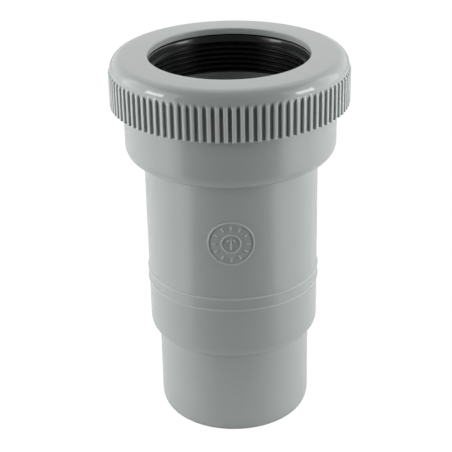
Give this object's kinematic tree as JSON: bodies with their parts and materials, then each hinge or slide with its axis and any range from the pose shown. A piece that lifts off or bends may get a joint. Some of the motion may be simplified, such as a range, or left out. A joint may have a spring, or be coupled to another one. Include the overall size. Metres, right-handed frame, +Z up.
{
  "type": "pipe expansion joint",
  "caption": "Waste-pipe expansion joint: plain spigot below, long sleeve for a sliding pipe, and a knurled screw cap over a rubber lip seal.",
  "frame": {"origin": "centre of the spigot's end face, on which the part stands", "axes": "+Z up along the pipe axis from the spigot to the screw cap"},
  "size_m": [0.0606, 0.0606, 0.0993],
  "materials": {
    "body_plastic": "satin moulded",
    "cap_plastic": "satin moulded",
    "seal_rubber": "matt black"
  },
  "bodies": {
    "body": {"sleeve_body": "body_plastic"},
    "seal": {"lip_seal": "seal_rubber"},
    "cap": {"screw_cap": "cap_plastic"}
  },
  "joints": [
    {"name": "cap_lift", "type": "slide", "parent": "body", "child": "seal", "axis": [0, 0, 1], "range_m": [0, 0.006]},
    {"name": "cap_turn", "type": "hinge", "parent": "seal", "child": "cap", "pos_m": [0, 0, 0.0933], "axis": [0, 0, 1], "range_deg": [0, 720]}
  ],
  "couplings": [
    {"joint": "cap_lift", "follows": "cap_turn", "m_per_rad": 0.00047746}
  ]
}
